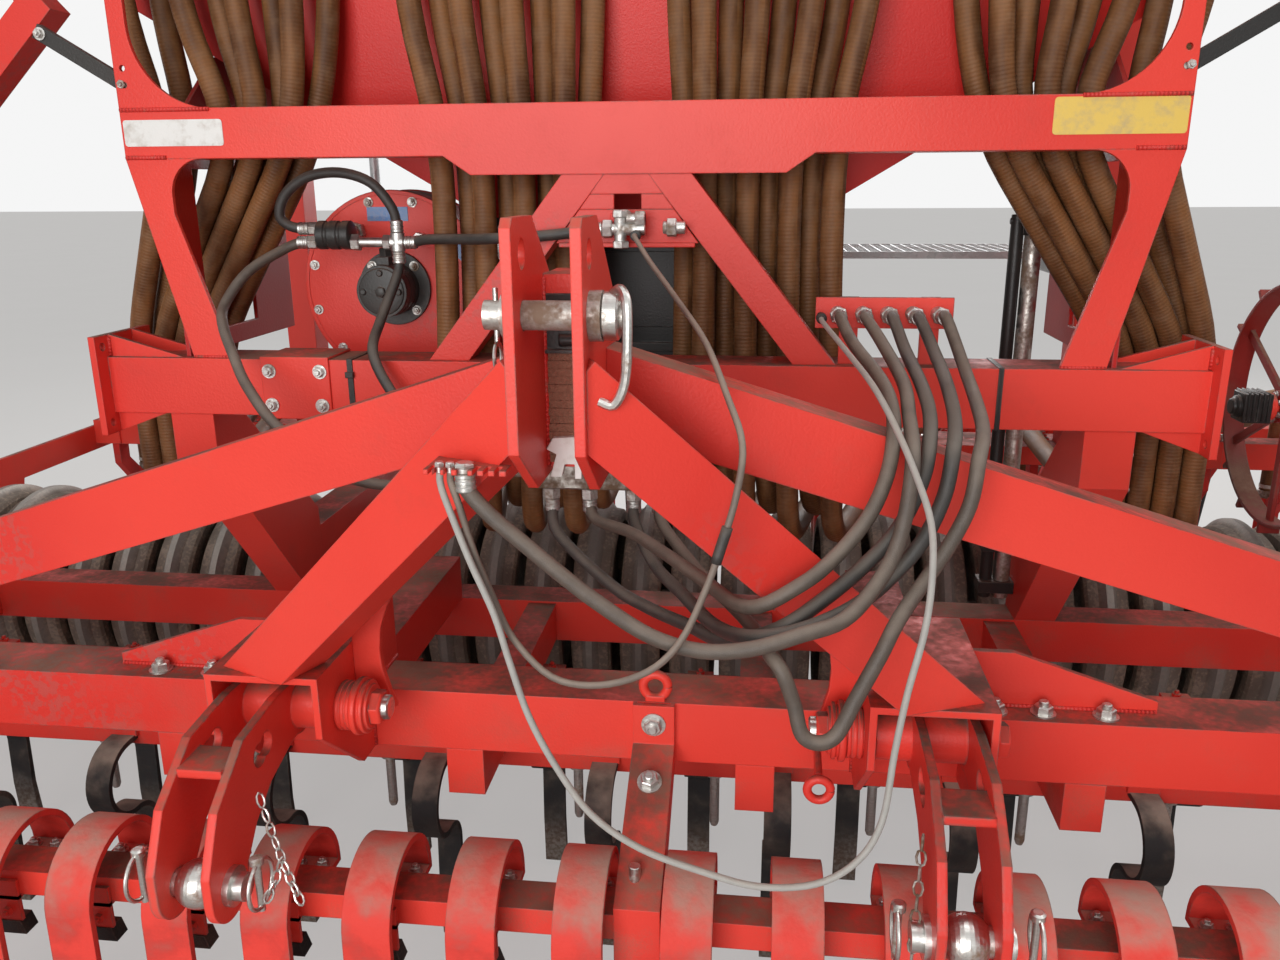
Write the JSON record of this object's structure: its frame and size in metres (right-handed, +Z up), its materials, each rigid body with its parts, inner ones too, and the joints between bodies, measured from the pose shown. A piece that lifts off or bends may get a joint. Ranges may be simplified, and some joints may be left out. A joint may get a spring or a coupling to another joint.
{
  "type": "pneumatic seed drill",
  "caption": "Tractor-mounted pneumatic seed drill with a spring-paddle levelling board, tines, ring packer, seed tank, fan, hose harness, drag coulters, harrow and folding track markers.",
  "frame": {"origin": "centre of the bounding box's base on the floor", "axes": "+X to the right seen from the tractor side, +Y towards the rear, +Z up; the hitch faces -Y"},
  "size_m": [4.052, 3.0798, 2.485],
  "materials": {
    "red_paint": "semi-gloss, dusty",
    "dark_red_paint": "semi-gloss",
    "black_paint": "satin, worn",
    "bright_steel": "dull",
    "worn_steel": "soil-polished",
    "zinc": "galvanised",
    "dusty_rubber": "matt, dusty brown",
    "black_rubber": "matt"
  },
  "bodies": {
    "frame": {"front_beam": "red_paint", "hitch_brackets": "red_paint", "hitch_pivots": "worn_steel", "mast": "red_paint", "top_link_pin": "bright_steel", "hitch_braces": "red_paint", "frame_rails": "red_paint", "tine_frame": "red_paint", "tine_beams": "red_paint", "spring_tines": "black_paint", "levelling_beam": "red_paint", "levelling_paddles": "red_paint", "levelling_arms": "red_paint", "packer_beam": "red_paint", "packer_end_plates": "red_paint", "rear_cross_beam": "red_paint", "tank_upper_beam": "red_paint", "tank_side_plates": "red_paint", "tank_side_panels": "dark_red_paint", "tank_cross_tube": "red_paint", "tank_struts": "red_paint", "tank_pillars": "red_paint", "hopper": "red_paint", "lid_hinge_rod": "bright_steel", "riser": "black_paint", "distributor_head": "black_paint", "meter_housing": "zinc", "fan_housing": "red_paint", "fan_motor": "black_paint", "coulter_rails": "red_paint", "coulters_front": "red_paint", "coulters_rear": "red_paint", "rear_arms": "red_paint", "harrow": "black_paint", "harrow_tines": "black_paint", "platform": "zinc", "platform_arms": "zinc", "handrail": "zinc", "steps": "zinc", "marker_posts": "red_paint", "marker_locks": "black_paint", "wheel_bracket": "red_paint", "hose_supports": "red_paint", "hydraulic_fittings": "zinc", "hydraulic_hoses": "black_rubber", "signal_cables": "black_rubber", "seed_hoses_left": "dusty_rubber", "seed_hoses_right": "dusty_rubber"},
    "packer": {"packer_roller": "worn_steel"},
    "hitch_arm_left_body": {"hitch_arm_left": "red_paint", "hitch_pin_left": "bright_steel"},
    "hitch_arm_right_body": {"hitch_arm_right": "red_paint", "hitch_pin_right": "bright_steel"},
    "fan_wheel": {"fan_rotor": "zinc"},
    "tank_lid": {"hopper_lid": "zinc"},
    "marker_left": {"marker_arm_left": "red_paint"},
    "marker_right": {"marker_arm_right": "red_paint"},
    "marker_disc_l": {"marker_disc_left": "bright_steel"},
    "marker_disc_r": {"marker_disc_right": "bright_steel"},
    "spud_wheel": {"land_wheel": "black_paint"}
  },
  "joints": [
    {"name": "packer_spin", "type": "hinge", "parent": "frame", "child": "packer", "pos_m": [0, 0.065, 0.28], "axis": [1, 0, 0], "continuous": true},
    {"name": "hitch_arm_left_float", "type": "hinge", "parent": "frame", "child": "hitch_arm_left_body", "pos_m": [-0.4825, -1.245, 0.655], "axis": [-1, 0, 0], "range_deg": [0, 12]},
    {"name": "hitch_arm_right_float", "type": "hinge", "parent": "frame", "child": "hitch_arm_right_body", "pos_m": [0.4825, -1.245, 0.655], "axis": [-1, 0, 0], "range_deg": [0, 12]},
    {"name": "fan_spin", "type": "hinge", "parent": "frame", "child": "fan_wheel", "pos_m": [-0.48, -0.555, 1.2], "axis": [0, 1, 0], "continuous": true},
    {"name": "lid_open", "type": "hinge", "parent": "frame", "child": "tank_lid", "pos_m": [0, -0.085, 2.116], "axis": [1, 0, 0], "range_deg": [0, 80]},
    {"name": "marker_left_fold", "type": "hinge", "parent": "frame", "child": "marker_left", "pos_m": [-1.9, -0.765, 0.86], "axis": [0, -1, 0], "range_deg": [0, 137]},
    {"name": "marker_right_fold", "type": "hinge", "parent": "frame", "child": "marker_right", "pos_m": [1.9, -0.765, 0.86], "axis": [0, 1, 0], "range_deg": [0, 137]},
    {"name": "marker_disc_left_spin", "type": "hinge", "parent": "marker_left", "child": "marker_disc_l", "pos_m": [-1.18479, -0.765, 1.95081], "axis": [-0.7314, 0, -0.682], "continuous": true},
    {"name": "marker_disc_right_spin", "type": "hinge", "parent": "marker_right", "child": "marker_disc_r", "pos_m": [1.18479, -0.765, 1.95081], "axis": [0.7314, 0, -0.682], "continuous": true},
    {"name": "land_wheel_spin", "type": "hinge", "parent": "frame", "child": "spud_wheel", "pos_m": [1.45, -0.035, 0.88], "axis": [1, 0, 0], "continuous": true}
  ]
}
